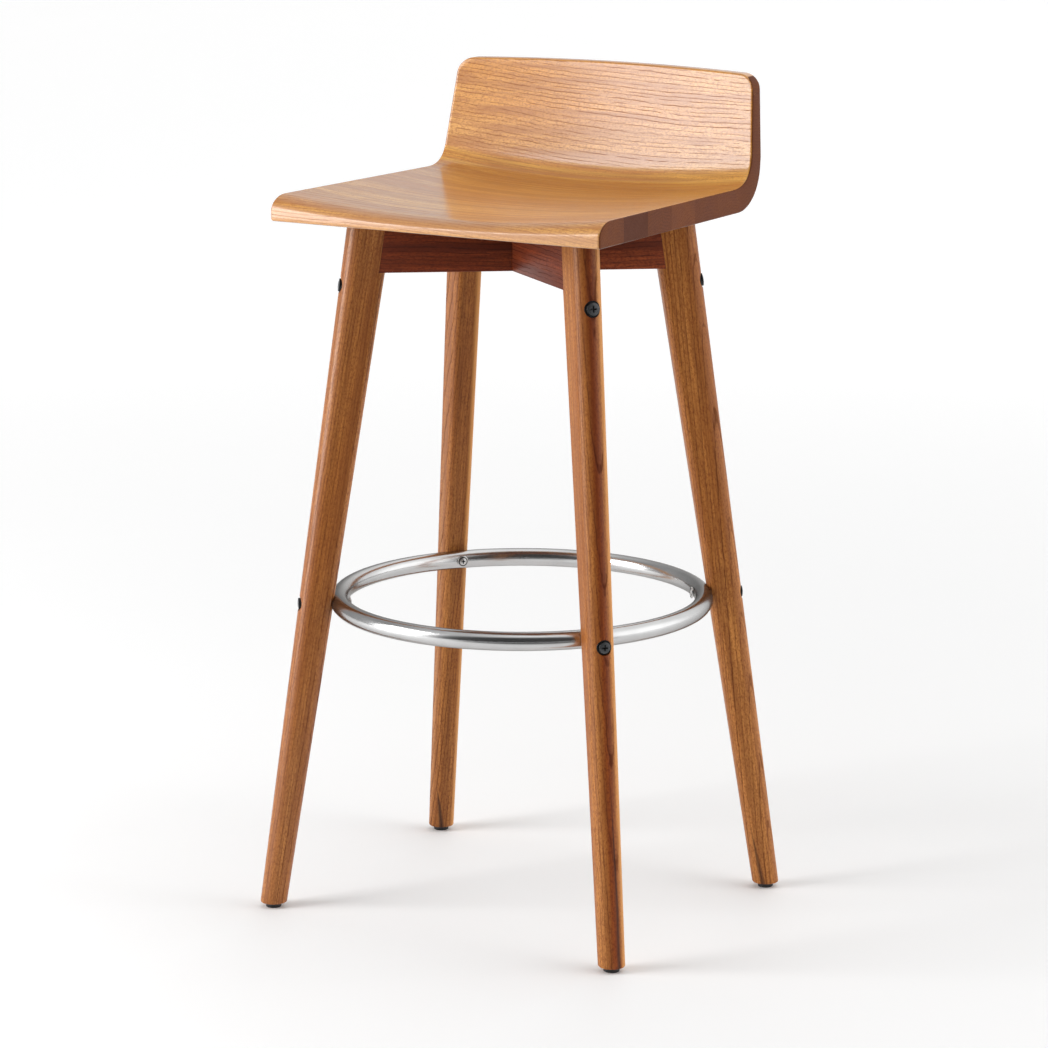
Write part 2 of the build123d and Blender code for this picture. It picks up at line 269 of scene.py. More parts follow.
def arc_tube(name, start, end, tube_radius, steps):
    """Part of the footrest's circle, as a closed tube."""
    sides = 48
    full = abs(end - start) > 2 * pi - 1e-6
    loops = []
    for i in range(steps if full else steps + 1):
        angle = start + (end - start) * i / steps
        loop = []
        for k in range(sides):
            turn = 2 * pi * k / sides
            radius = RING_RADIUS + tube_radius * cos(turn)
            z = RING_HEIGHT + tube_radius * sin(turn)
            loop.append((radius * cos(angle), radius * sin(angle), z))
        loops.append(loop)
    return lofted(name, loops, full)


# -------- places along the legs


def leg_centre(z):
    """Centre of the back right leg's level section at height z."""
    rise = z - GLIDE_HEIGHT
    return FOOT.x - LEG_LEAN_X * rise, FOOT.y - LEG_LEAN_Y * rise


def bearing(z):
    across, along = leg_centre(z)
    return atan2(along, across)


def leg_radius(z):
    return hypot(*leg_centre(z))


def between(start, end, share):
    return start + (end - start) * share


def leg_share(z):
    return (z - GLIDE_HEIGHT) / (UNDERSIDE - GLIDE_HEIGHT)


def leg_depth(z):
    return between(LEG_FOOT_DEPTH, LEG_TOP_DEPTH, leg_share(z))


RAIL_ANGLE = bearing(RAIL_MIDDLE)
RING_ANGLE = bearing(RING_HEIGHT)
LEG_LEAN = (leg_radius(TONGUE_BOTTOM) - leg_radius(UNDERSIDE)) / (UNDERSIDE - TONGUE_BOTTOM)
LEG_TILT = atan2(LEG_LEAN, 1)
SLOPE = 1 / cos(LEG_TILT)


def outward(corner, angle):
    side_x, side_y = CORNERS[corner]
    return Vector((side_x * cos(angle), side_y * sin(angle), 0))


def bolt_place(corner, angle, radius, z, tilt):
    """Placement whose Z axis points outwards along a bolt."""
    direction = outward(corner, angle)
    axis = direction * cos(tilt) + Vector((0, 0, sin(tilt)))
    level = axis.cross(Vector((0, 0, 1))).normalized()
    turn = Matrix((level, axis.cross(level), axis)).transposed().to_4x4()
    return Matrix.Translation(direction * radius + Vector((0, 0, z))) @ turn


def leg_surface(z):
    return leg_radius(z) + leg_depth(z) / 2


def leg_bolt_place(corner):
    return bolt_place(corner, RAIL_ANGLE, leg_surface(LEG_BOLT_HEIGHT), LEG_BOLT_HEIGHT, LEG_TILT)


def ring_bolt_place(corner):
    return bolt_place(corner, RING_ANGLE, leg_surface(RING_HEIGHT), RING_HEIGHT, 0)


def leg_place(corner):
    """Placement at the foot with Z up the leg and X outwards."""
    side_x, side_y = CORNERS[corner]
    foot = Vector((side_x * FOOT.x, side_y * FOOT.y, GLIDE_HEIGHT))
    along = Vector((-side_x * LEG_LEAN_X, -side_y * LEG_LEAN_Y, 1)).normalized()
    out = outward(corner, RING_ANGLE)
    out = (out - along * out.dot(along)).normalized()
    turn = Matrix((out, along.cross(out), along)).transposed().to_4x4()
    return Matrix.Translation(foot) @ turn


def beside_leg(offset, z):
    return leg_radius(z) + offset * SLOPE, z


# -------- seat shell


def curve(start, corner, end, t, pull=ROUNDING_PULL):
    """Point on a rounding from start to end round a corner."""
    start, corner, end = Vector(start), Vector(corner), Vector(end)
    a = start + (corner - start) * pull
    b = end + (corner - end) * pull
    s = 1 - t
    return tuple(start * s**3 + a * (3 * s * s * t) + b * (3 * s * t * t) + end * t**3)


def crest_height(x):
    """Height of the back's top edge x mm from the middle, with its rounded corners."""
    limit = TOP_HALF_WIDTH - CORNER_RADIUS
    reach = min(abs(x), limit)
    crest = BACK_TOP - BACK_TOP_DROP * (reach / FRONT_HALF_WIDTH) ** 2
    over = min(max(abs(x) - limit, 0), CORNER_RADIUS)
    return crest - CORNER_RADIUS + sqrt(CORNER_RADIUS**2 - over**2)


def half_width(y, z):
    """Half width of the shell at a point of its profile."""
    back = min(max((y - FRONT_Y) / (BEND_Y - FRONT_Y), 0), 1)
    plan = between(FRONT_HALF_WIDTH, BEND_HALF_WIDTH, back)
    if z <= SEAT_TOP:
        return plan
    bend_top = SEAT_TOP + INNER_BEND_RADIUS
    if z < bend_top:
        front = between(FRONT_HALF_WIDTH, BEND_HALF_WIDTH, (z - SEAT_TOP) / INNER_BEND_RADIUS)
    else:
        share = (z - bend_top) / (BACK_TOP - bend_top)
        front = between(BEND_HALF_WIDTH, TOP_HALF_WIDTH, share)
    return min(plan, front)


# Parts of the closed profile and how many steps each takes, from the front of the
# underside, up the outside of the back, over the top and down to the nose
PROFILE_STEPS = (
    ("under", 36), ("outer_bend", 14), ("outer_back", 14), ("outer_crest", 5), ("crest", 2),
    ("inner_crest", 5), ("inner_back", 14), ("inner_bend", 14), ("top", 36), ("nose", 14),
    ("front", 3), ("front_arris", 4),
)


def profile_point(x, part, t, crest):
    """Point (y, z) of the profile x mm from the middle."""
    share = 1 - (x / FRONT_HALF_WIDTH) ** 2
    top = SEAT_TOP - SEAT_DISH * share
    bend = BEND_Y + BACK_SAG * share
    inner_z = top + INNER_BEND_RADIUS
    outer_z = UNDERSIDE + OUTER_BEND_RADIUS
    inner_y0 = bend + INNER_BEND_RADIUS * cos(INNER_LEAN)
    inner_z0 = inner_z - INNER_BEND_RADIUS * sin(INNER_LEAN)
    outer_y0 = bend + OUTER_BEND_RADIUS * cos(OUTER_LEAN)
    outer_z0 = outer_z - OUTER_BEND_RADIUS * sin(OUTER_LEAN)

    def inner_at(z):
        return inner_y0 + (z - inner_z0) * tan(INNER_LEAN), z

    def outer_at(z):
        return outer_y0 + (z - outer_z0) * tan(OUTER_LEAN), z

    low = crest - CREST_ROUNDING
    bend_corner = inner_at(top)
    bend_high = inner_at(top + INNER_BEND_REACH * cos(INNER_LEAN))
    bend_low = (bend_corner[0] - INNER_BEND_REACH, top)
    outer_top = (outer_at(crest)[0] - CREST_ROUNDING, crest)
    inner_top = (inner_at(crest)[0] + CREST_ROUNDING, crest)
    nose_start = (FRONT_Y + NOSE_DEPTH, top)
    nose_end = (FRONT_Y, top - NOSE_SHARE * (top - UNDERSIDE))
    if part == "under":
        return FRONT_Y + ARRIS + (bend - FRONT_Y - ARRIS) * t, UNDERSIDE
    if part == "outer_bend":
        angle = -pi / 2 + (pi / 2 - OUTER_LEAN) * t
        return bend + OUTER_BEND_RADIUS * cos(angle), outer_z + OUTER_BEND_RADIUS * sin(angle)
    if part == "outer_back":
        return outer_at(outer_z0 + (low - outer_z0) * t)
    if part == "outer_crest":
        return curve(outer_at(low), outer_at(crest), outer_top, t)
    if part == "crest":
        return outer_top[0] + (inner_top[0] - outer_top[0]) * t, crest
    if part == "inner_crest":
        return curve(inner_top, inner_at(crest), inner_at(low), t)
    if part == "inner_back":
        return inner_at(low + (bend_high[1] - low) * t)
    if part == "inner_bend":
        return curve(bend_high, bend_corner, bend_low, t, INNER_BEND_PULL)
    if part == "top":
        return bend_low[0] + (nose_start[0] - bend_low[0]) * t, top
    if part == "nose":
        return curve(nose_start, (FRONT_Y, top), nose_end, t)
    if part == "front":
        return FRONT_Y, nose_end[1] + (UNDERSIDE + ARRIS - nose_end[1]) * t
    arris_top, arris_end = (FRONT_Y, UNDERSIDE + ARRIS), (FRONT_Y + ARRIS, UNDERSIDE)
    return curve(arris_top, (FRONT_Y, UNDERSIDE), arris_end, t)


def seat_stations():
    """(share of the inner width, distance in from the side, inset) across the shell."""
    middle_steps = 44
    near_side = (15.0, 13.0, 11.0, 9.2, 7.6, 6.2, 5.0, 4.0, 3.1)
    rounding_steps = 5
    ends = [(distance, 0.0) for distance in near_side]
    for k in range(rounding_steps + 1):
        angle = pi / 2 * k / rounding_steps
        ends.append((SIDE_ROUNDING * (1 - sin(angle)), SIDE_ROUNDING * (1 - cos(angle))))
    stations = [(-1, d, inset) for d, inset in reversed(ends)]
    for k in range(middle_steps + 1):
        stations.append((2 * k / middle_steps - 1, None, 0.0))
    return stations + [(1, d, inset) for d, inset in ends]


def station_x(side, distance, width):
    if distance is None:
        return side * (width - CORNER_RADIUS)
    return side * (width - distance)


def seat_loop(side, distance, inset):
    """Profile points of one station: the width at a point depends on the point, so x settles."""
    settling = 3
    crest = crest_height(station_x(side, distance, TOP_HALF_WIDTH))
    points = []
    for part, steps in PROFILE_STEPS:
        for k in range(steps):
            x = station_x(side, distance, FRONT_HALF_WIDTH)
            for _ in range(settling):
                y, z = profile_point(x, part, k / steps, crest)
                x = station_x(side, distance, half_width(y, z))
            points.append(Vector((x, y, z)))
    if inset == 0:
        return points
    shifted = []
    for i, point in enumerate(points):
        ahead = points[(i + 1) % len(points)] - points[i - 1]
        inwards = Vector((0, -ahead.z, ahead.y)).normalized()
        shifted.append(point + inwards * inset)
    return shifted


def cap_side(bm, loop):
    """Fills one side of the shell with faces that run across its thickness."""
    starts = {}
    total = 0
    for part, steps in PROFILE_STEPS:
        starts[part] = total
        total += steps
    outer = list(range(starts["under"], starts["outer_crest"] + 1))
    inner = list(range(starts["inner_back"], starts["nose"] + 1))[::-1]
    for a, b, c, d in zip(outer, outer[1:], inner[1:], inner):
        bm.faces.new((loop[a], loop[b], loop[c], loop[d]))
    bm.faces.new([loop[i] for i in range(starts["outer_crest"], starts["inner_back"] + 1)])
    bm.faces.new([loop[i] for i in range(starts["nose"], total)] + [loop[0]])


def build_seat():
    bm = bmesh.new()
    loops = []
    for station in seat_stations():
        loops.append([bm.verts.new(point) for point in seat_loop(*station)])
    for first, second in zip(loops, loops[1:]):
        loop_faces(bm, first, second)
    cap_side(bm, loops[0])
    cap_side(bm, loops[-1])
    for face in bm.faces:
        face.normal_update()
        face.material_index = int(abs(face.normal.x) > END_GRAIN_TURN)
    seat = new_object("seat_shell_oak", bm)
    smooth(seat, 40)
    return seat


# -------- legs


def arc(centre, radius, start, sweep, steps):
    """Points along a level arc."""
    x, y = centre
    angles = [start + sweep * k / steps for k in range(steps + 1)]
    return [(x + radius * cos(angle), y + radius * sin(angle)) for angle in angles]


def leg_outline(z, shrink):
    """Level section (outwards, sideways): half-round outside, flat sides, rounded inside."""
    outer_steps, corner_steps, side_steps, inner_steps = 32, 7, 5, 3
    share = leg_share(z)
    depth = leg_depth(z) - 2 * shrink
    side = between(LEG_FOOT_WIDTH, LEG_TOP_WIDTH, share) / 2 - shrink
    corner = between(LEG_FOOT_CORNER, LEG_TOP_CORNER, share) - shrink
    inner = -depth / 2
    centre = depth / 2 - side
    points = arc((centre, 0), side, pi / 2, -pi, outer_steps)
    for k in range(1, side_steps):
        points.append((centre + (inner + corner - centre) * k / side_steps, -side))
    points += arc((inner + corner, corner - side), corner, -pi / 2, -pi / 2, corner_steps)
    for k in range(1, inner_steps):
        points.append((inner, (corner - side) * (1 - 2 * k / inner_steps)))
    points += arc((inner + corner, side - corner), corner, pi, -pi / 2, corner_steps)
    for k in range(1, side_steps):
        points.append((inner + corner + (centre - inner - corner) * k / side_steps, side))
    return points


def leg_levels():
    """(height, shrink) of a leg's sections, with a rounded edge at the foot."""
    edge_steps = 3
    levels = []
    for k in range(edge_steps + 1):
        angle = pi / 2 * k / edge_steps
        shrink = LEG_FOOT_ROUNDING * (1 - sin(angle))
        levels.append((GLIDE_HEIGHT + LEG_FOOT_ROUNDING * (1 - cos(angle)), shrink))
    low = levels[-1][0]
    for k in range(1, LEG_STEPS + 1):
        levels.append((low + (UNDERSIDE - low) * k / LEG_STEPS, 0.0))
    return levels


def tongue_outline(margin, top):
    """Outline of a rail's tongue, which starts a margin behind the shoulder."""
    return [
        beside_leg(SHOULDER_OFFSET - margin, top),
        beside_leg(SHOULDER_OFFSET - margin, RAIL_UNDERSIDE),
        beside_leg(TONGUE_INNER, RAIL_UNDERSIDE),
        beside_leg(TONGUE_INNER, TONGUE_BOTTOM),
        beside_leg(TONGUE_OUTER, TONGUE_BOTTOM),
        beside_leg(TONGUE_OUTER, top),
    ]


def build_leg(corner):
    loops = []
    for z, shrink in leg_levels():
        direction = outward(corner, bearing(z))
        aside = Vector((0, 0, 1)).cross(direction)
        centre = direction * leg_radius(z) + Vector((0, 0, z))
        outline = leg_outline(z, shrink)
        loops.append([centre + direction * u + aside * v for u, v in outline])
    leg = lofted(f"leg_{corner}_turned", loops)
    top = UNDERSIDE + ABOVE_LEG
    shoulder = [
        (0, RAIL_UNDERSIDE),
        beside_leg(SHOULDER_OFFSET, RAIL_UNDERSIDE),
        beside_leg(SHOULDER_OFFSET, top),
        (0, top),
    ]
    direction = outward(corner, RAIL_ANGLE)
    tools = [
        prism("shoulder_cut", shoulder, direction, LEG_TOP_WIDTH),
        prism("mortise_cut", tongue_outline(1, top), direction, TONGUE_WIDTH / 2),
        bolt_cut(leg_bolt_place(corner), LEG_COUNTERBORE, leg_depth(LEG_BOLT_HEIGHT) / 2),
        bolt_cut(ring_bolt_place(corner), RING_COUNTERBORE, leg_depth(RING_HEIGHT) / 2),
        saddle_cut(corner),
    ]
    combine(leg, tools)
    smooth(leg, 35)
    return leg


def bolt_cut(place, radius, reach):
    """Tool for a counterbore and its clearance hole."""
    beyond = 20.0
    floor = -COUNTERBORE_DEPTH
    profile = [
        (0, beyond), (radius, beyond), (radius, floor + COUNTERBORE_ARRIS),
        (radius - COUNTERBORE_ARRIS, floor), (BOLT_CLEARANCE, floor),
        (BOLT_CLEARANCE, -reach), (0, -reach),
    ]
    return turned("bolt_cut", profile, place, 56)


def saddle_cut(corner):
    """Tool for the hollow that the ring rests in."""
    direction = outward(corner, RING_ANGLE)
    middle = atan2(direction.y, direction.x)
    start, end = middle - SADDLE_SPREAD, middle + SADDLE_SPREAD
    return arc_tube("saddle_cut", start, end, RING_TUBE + SADDLE_GAP, 40)


# -------- crossed rails


def screw_cut(place):
    """Tool for a seat screw's stepped hole, up through a rail."""
    beyond = 2
    ledge = RAIL_HEIGHT - SEAT_SCREW_LEDGE
    top = RAIL_HEIGHT + beyond
    profile = [
        (0, -beyond), (SEAT_SCREW_BORE, -beyond), (SEAT_SCREW_BORE, ledge),
        (SEAT_SCREW_CLEARANCE, ledge), (SEAT_SCREW_CLEARANCE, top), (0, top),
    ]
    return turned("screw_cut", profile, place, 40)


def build_rail(name, corner, other, notch_low, notch_high):
    """Rail towards one corner, notched for the rail that runs towards the other corner."""
    direction = outward(corner, RAIL_ANGLE)
    reach_low = beside_leg(SHOULDER_OFFSET, RAIL_UNDERSIDE)[0]
    reach_high = beside_leg(SHOULDER_OFFSET, UNDERSIDE)[0]
    bar = [(-reach_low, RAIL_UNDERSIDE), (reach_low, RAIL_UNDERSIDE),
           (reach_high, UNDERSIDE), (-reach_high, UNDERSIDE)]
    rail = prism(name, bar, direction, LEG_TOP_WIDTH / 2)
    tongue = tongue_outline(2, UNDERSIDE)
    tongues = [prism("tongue", tongue, side * direction, TONGUE_WIDTH / 2) for side in (1, -1)]
    combine(rail, tongues, "UNION")
    notch = [(-NOTCH_REACH, notch_low), (NOTCH_REACH, notch_low),
             (NOTCH_REACH, notch_high), (-NOTCH_REACH, notch_high)]
    tools = [prism("notch", notch, outward(other, RAIL_ANGLE), LEG_TOP_WIDTH / 2)]
    for side in (1, -1):
        foot = direction * (side * SEAT_SCREW_RADIUS)
        tools.append(screw_cut(Matrix.Translation(foot + Vector((0, 0, RAIL_UNDERSIDE)))))
    combine(rail, tools)
    edge = rail.modifiers.new("arris", "BEVEL")
    edge.width = RAIL_ARRIS * MM
    edge.segments = 2
    edge.limit_method = "ANGLE"
    edge.angle_limit = radians(50)
    bake_modifiers(rail)
    smooth(rail, 30)
    return rail


def rail_place(corner):
    """Placement at the rail's middle with X along it."""
    along = outward(corner, RAIL_ANGLE)
    up = Vector((0, 0, 1))
    turn = Matrix((along, up.cross(along), up)).transposed().to_4x4()
    return Matrix.Translation(up * RAIL_MIDDLE) @ turn


# -------- footrest and fasteners

FLIP = Matrix.Rotation(pi, 4, "X")

# Levels of a driver recess: height as a share of its depth, width as a share of its reach
RECESS_LEVELS = ((1, 1.15), (0, 1.0), (-1, 0.45))
RECESS_CORNERS = ((-1, -1), (1, -1), (1, 1), (-1, 1))

# Sizes of the screws; a recess is its reach, half thickness and depth
LEG_BOLT = {"bore": LEG_COUNTERBORE, "head": 6.6, "height": 5.2, "shank": 22.0,
            "recess": (3.4, 0.75, 2.4)}
RING_BOLT = {"bore": RING_COUNTERBORE, "head": 5.9, "height": 4.8, "shank": 27.0,
             "recess": (3.1, 0.7, 2.2)}
SEAT_SCREW = {"crown": 3.5, "dome": 3.3, "rim": 2.2, "head": 4.5, "shank": 2.1, "length": 35.0,
              "edge": 0.6, "sides": 40, "recess": (2.6, 0.6, 1.8)}
GLIDE_SCREW = {"crown": 1.9, "dome": 1.8, "rim": 1.1, "head": 4.0, "shank": 1.95, "length": 27.0,
               "edge": 0.4, "sides": 36, "recess": (2.2, 0.5, 1.2)}

WASHER_GAP = 0.15
WASHER_HEIGHT = 1.3
WASHER_LIP = 0.7
BOLT_SHANK_RADIUS = 3.0
BOLT_SIDES = 56

NUT_CROWN = 2.5
NUT_BUTTON = 4.0
NUT_FLANGE = 6.0
NUT_RECESS = (2.3, 0.55, 1.6)

GLIDE_BORE = 2.0
GLIDE_WELL = 4.1
GLIDE_FLOOR = 2.5


def build_ring():
    ring = arc_tube("footrest_ring_tube", 0, 2 * pi, RING_TUBE, RING_STEPS)
    smooth(ring, 60)
    return ring


def cross_cut(place, reach, half_thick, depth):
    """Tools for a cross-shaped driver recess that narrows as it goes in."""
    tools = []
    for turn in (0, pi / 2):
        loops = []
        for level, scale in RECESS_LEVELS:
            loop = []
            for u, v in RECESS_CORNERS:
                x, y = u * reach * scale, v * half_thick * (0.6 + 0.4 * scale)
                across, along = x * cos(turn) - y * sin(turn), x * sin(turn) + y * cos(turn)
                loop.append(place @ Vector((across, along, level * depth)))
            loops.append(loop)
        tools.append(lofted("cross_cut", loops))
    return tools


def finish_recess(obj, place, crown, recess):
    """Cuts a driver recess at the crown of a turned head."""
    combine(obj, cross_cut(place @ Matrix.Translation((0, 0, crown)), *recess))
    smooth(obj, 30)
    return obj


def darken(obj, place, crown, reach, low, inner, outer):
    """Gives the recess, and a band round the head above low, the second material: painted shade
    in the recess and a dark band round the head.
    """
    rim = 0.2
    back = place.inverted()
    for face in obj.data.polygons:
        x, y, z = back @ (face.center / MM)
        radius = hypot(x, y)
        in_band = inner < radius < outer and z > low
        in_recess = radius < reach and low < z < crown - rim
        face.material_index = int(in_band or in_recess)
    return obj


def build_bolt(name, place, bolt):
    """Round-headed bolt on a cup washer, at the bottom of its counterbore."""
    low = -COUNTERBORE_DEPTH
    crown, tip = low + bolt["height"], low - bolt["shank"]
    head, washer = bolt["head"], bolt["bore"] - WASHER_GAP
    cup = low + WASHER_HEIGHT
    profile = [
        (0, crown), (head * 0.55, crown), (head, crown - 0.5, SOFT), (head, cup),
        (washer - 1.2, cup), (washer - 1.0, cup + WASHER_LIP), (washer, cup + WASHER_LIP, SOFT),
        (washer, low), (BOLT_SHANK_RADIUS, low), (BOLT_SHANK_RADIUS, tip + 1),
        (BOLT_SHANK_RADIUS - 0.8, tip), (0, tip),
    ]
    obj = turned(name, rounded(profile, 0.6), place, BOLT_SIDES)
    finish_recess(obj, place, crown, bolt["recess"])
    recess_reach = bolt["recess"][0] + 0.5
    return darken(obj, place, crown, recess_reach, low, head - 0.3, bolt["bore"])


def build_ring_nut(corner):
    """Sleeve nut head against the inside of the tube, with a ring groove and a recess."""
    gap, sleeve = 0.15, 20.0
    # Painted shade: the recess and the ring groove get the black material, for the shade in the
    # gap round the head.
    dark_recess, dark_groove = 2.6, (3.95, 5.02)
    groove_inner, groove_outer, groove_floor = NUT_BUTTON + 0.1, NUT_FLANGE - 1.1, 0.8
    centre = bolt_place(corner, RING_ANGLE, RING_RADIUS, RING_HEIGHT, 0)
    place = centre @ Matrix.Translation((0, 0, -RING_TUBE - gap)) @ FLIP
    profile = [
        (0, NUT_CROWN), (2.4, NUT_CROWN - 0.1), (NUT_BUTTON, 1.9, SOFT),
        (groove_inner, groove_floor), (groove_outer, groove_floor), (groove_outer + 0.1, 1.6),
        (NUT_FLANGE, 1.4, SOFT), (NUT_FLANGE, 0), (NUT_BUTTON, 0), (NUT_BUTTON, -sleeve),
        (0, -sleeve),
    ]
    nut = turned(f"ring_nut_{corner}_plated", rounded(profile, 0.35), place)
    finish_recess(nut, place, NUT_CROWN, NUT_RECESS)
    return darken(nut, place, NUT_CROWN, dark_recess, 0.1, *dark_groove)


def wood_screw(name, place, screw):
    """Screw with a domed head, which rests on the placement's level."""
    head, shank, length = screw["head"], screw["shank"], screw["length"]
    profile = [
        (0, screw["crown"]), (2.6, screw["dome"]), (head, screw["rim"], SOFT), (head, 0),
        (shank, 0), (shank, 2 - length), (0, -length),
    ]
    obj = turned(name, rounded(profile, screw["edge"]), place, screw["sides"])
    return finish_recess(obj, place, screw["crown"], screw["recess"])


def build_seat_screw(corner):
    foot = outward(corner, RAIL_ANGLE) * SEAT_SCREW_RADIUS
    ledge = Vector((0, 0, UNDERSIDE - SEAT_SCREW_LEDGE))
    place = Matrix.Translation(foot + ledge) @ FLIP
    return wood_screw(f"seat_screw_{corner}_zinc", place, SEAT_SCREW)


def glide_place(corner):
    side_x, side_y = CORNERS[corner]
    return Matrix.Translation((side_x * FOOT.x, side_y * FOOT.y, 0))


def build_glide(corner):
    """Nylon disc with a well for its screw, turned as a closed loop round the bore."""
    profile = [
        (GLIDE_BORE, GLIDE_FLOOR), (GLIDE_WELL, GLIDE_FLOOR), (GLIDE_WELL, 0.0),
        (GLIDE_RADIUS, 0.0, SOFT), (GLIDE_RADIUS, GLIDE_HEIGHT, SOFT),
        (GLIDE_BORE, GLIDE_HEIGHT), (GLIDE_BORE, GLIDE_FLOOR),
    ]
    bm = bmesh.new()
    lathe(bm, rounded(profile, 0.6), glide_place(corner), 56)
    bmesh.ops.remove_doubles(bm, verts=bm.verts, dist=1e-4)
    glide = new_object(f"glide_{corner}_nylon", bm)
    smooth(glide, 35)
    return glide


def build_glide_screw(corner):
    place = glide_place(corner) @ Matrix.Translation((0, 0, GLIDE_FLOOR)) @ FLIP
    return wood_screw(f"glide_screw_{corner}_zinc", place, GLIDE_SCREW)


# -------- materials


class Value:
    """A node's output that can be used in sums."""

    def __init__(self, nodes, socket):
        self.nodes = nodes
        self.socket = socket

    def __add__(self, other):
        return self.nodes.math("ADD", self, other)

    def __sub__(self, other):
        return self.nodes.math("SUBTRACT", self, other)

    def __mul__(self, other):
        return self.nodes.math("MULTIPLY", self, other)

    def __truediv__(self, other):
        return self.nodes.math("DIVIDE", self, other)

    def __abs__(self):
        return self.nodes.math("ABSOLUTE", self)

    def floor(self):
        return self.nodes.math("FLOOR", self)

    def fraction(self):
        return self.nodes.math("FRACT", self)


class Nodes:
    """Short ways to add nodes to a tree. Each input is a constant or a Value."""

    def __init__(self, tree):
        self.tree = tree

    def put(self, socket, value):
        if isinstance(value, Value):
            self.tree.links.new(value.socket, socket)
        else:
            socket.default_value = value

    def add(self, kind, inputs=(), output=0, **settings):
        """Adds a node with its settings and inputs, by place or name, and gives an output."""
        node = self.tree.nodes.new(f"ShaderNode{kind}")
        for key, setting in settings.items():
            setattr(node, key, setting)
        for key, value in inputs.items() if isinstance(inputs, dict) else enumerate(inputs):
            self.put(node.inputs[key], value)
        return Value(self, node.outputs[output])

    def math(self, operation, *values, use_clamp=False):
        return self.add("Math", values, operation=operation, use_clamp=use_clamp)

    def length(self, a, b):
        return self.math("SQRT", a * a + b * b)

    def vector(self, operation, a, b):
        output = "Value" if operation == "DOT_PRODUCT" else "Vector"
        return self.add("VectorMath", (a, b), output, operation=operation)

    def split(self, vector):
        node = self.tree.nodes.new("ShaderNodeSeparateXYZ")
        self.put(node.inputs[0], vector)
        return [Value(self, socket) for socket in node.outputs]

    def join(self, x, y, z):
        return self.add("CombineXYZ", (x, y, z))

    def noise(self, vector, cells=(1, 1, 1), detail=2.0, rough=0.5, output="Fac"):
        """Noise with so many cells per unit along each axis."""
        stretched = self.vector("MULTIPLY", vector, cells)
        inputs = {"Vector": stretched, "Scale": 1.0, "Detail": detail, "Roughness": rough}
        return self.add("TexNoise", inputs, output)

    def chance(self, number):
        """Random value, 0 to 1, that stays the same for the same whole number."""
        return self.add("TexWhiteNoise", {"W": number}, "Value", noise_dimensions="1D")

    def ramp(self, value, stops):
        """Curve through stops of (place, level)."""
        node = self.tree.nodes.new("ShaderNodeValToRGB")
        elements = node.color_ramp.elements
        while len(elements) < len(stops):
            elements.new(1.0)
        for element, (place, level) in zip(elements, stops):
            element.position = place
            element.color = (level, level, level, 1)
        self.put(node.inputs["Fac"], value)
        return Value(self, node.outputs["Color"])

    def range(self, value, low, high, new_low=0.0, new_high=1.0, kind="LINEAR"):
        """Takes low to high into new_low to new_high and holds what is beyond."""
        inputs = (value, low, high, new_low, new_high)
        return self.add("MapRange", inputs, interpolation_type=kind)

    def ease(self, value, low, high, new_low=0.0, new_high=1.0):
        """The same with soft ends."""
        return self.range(value, low, high, new_low, new_high, "SMOOTHSTEP")

    def mix(self, share, a, b, blend="MIX"):
        """Mixes two colours: 6 and 7 are the node's colour inputs, and 2 its colour output."""
        a, b = ((*tone, 1) if isinstance(tone, tuple) else tone for tone in (a, b))
        return self.add("Mix", {0: share, 6: a, 7: b}, 2, data_type="RGBA", blend_type=blend)


class Finish(Nodes):
    """A material's nodes and its shader."""

    def __init__(self, name):
        self.material = bpy.data.materials.new(name)
        self.material.use_nodes = True
        super().__init__(self.material.node_tree)
        self.shader = self.tree.nodes["Principled BSDF"]

    def set(self, **values):
        """Sets sockets of the shader, with _ for each space in their names."""
        for key, value in values.items():
            self.put(self.shader.inputs[key.replace("_", " ")], value)

    def bump(self, height, distance, strength):
        inputs = {"Height": height, "Distance": distance, "Strength": strength}
        self.set(Normal=self.add("Bump", inputs))

    def place(self, frame_of=None):
        """Where a point lies on the piece, in metres, in the frame of a placement."""
        point = self.add("TexCoord", output="Object")
        if frame_of is None:
            return point
        where = (point, frame_of.translation * MM, frame_of.to_euler())
        return self.add("Mapping", where, vector_type="TEXTURE")


@dataclass
class Wood:
    """How a board's grain runs, in metres, and how strongly it shows."""

    tones: tuple  # light, middle, dark and pore
    pith: tuple  # centre of the year rings, across the grain
    gloss: float  # roughness of the closed wood
    shine: float
    coat: float
    spacing: float = 0.0034
    lean: tuple = (0, 0)  # how the pith drifts along the grain
    bend: float = 0.0
    seed: float = 0.0
    sway_reach: float = 0.022
    wave_reach: float = 0.0024
    stripe_depth: float = 0.5
    line_depth: float = 0.5
    fibre_depth: float = 0.6
    pore_depth: float = 0.75
    coat_rough: float = 0.15
    # The seat's marks and two legs' marks also paint shade and light into the colour.
    marks: object = None  # function that adds marks to the colour


# Noise cells per metre along the grain and across it
SWAY_CELLS = (3.2, 9)
WAVE_CELLS = (70, 60)
DASH_CELLS = (42, 600)
STRIPE_CELLS = (1.4, 120)
SPECK_CELLS = (330, 620)
FIBRE_CELLS = (14, 430)
CLOUD_CELLS = (2.2, 22)

# One year's growth: how much early wood there is from one ring to the next
YEAR_LINE = ((0.0, 0.7), (0.05, 1.0), (0.12, 0.28), (0.38, 0.08), (0.95, 0.03), (1.0, 0.7))
UNEVEN_YEARS = 2.2
SPECK_DEPTH = 0.7
PORE_ROUGHNESS = 0.35
CLOUD_ROUGHNESS = 0.10


def grain_noise(n, point, cells, detail=2.0, rough=0.5, output="Fac"):
    """Noise stretched along the grain."""
    along, across = cells
    return n.noise(point, (along, across, across), detail, rough, output)


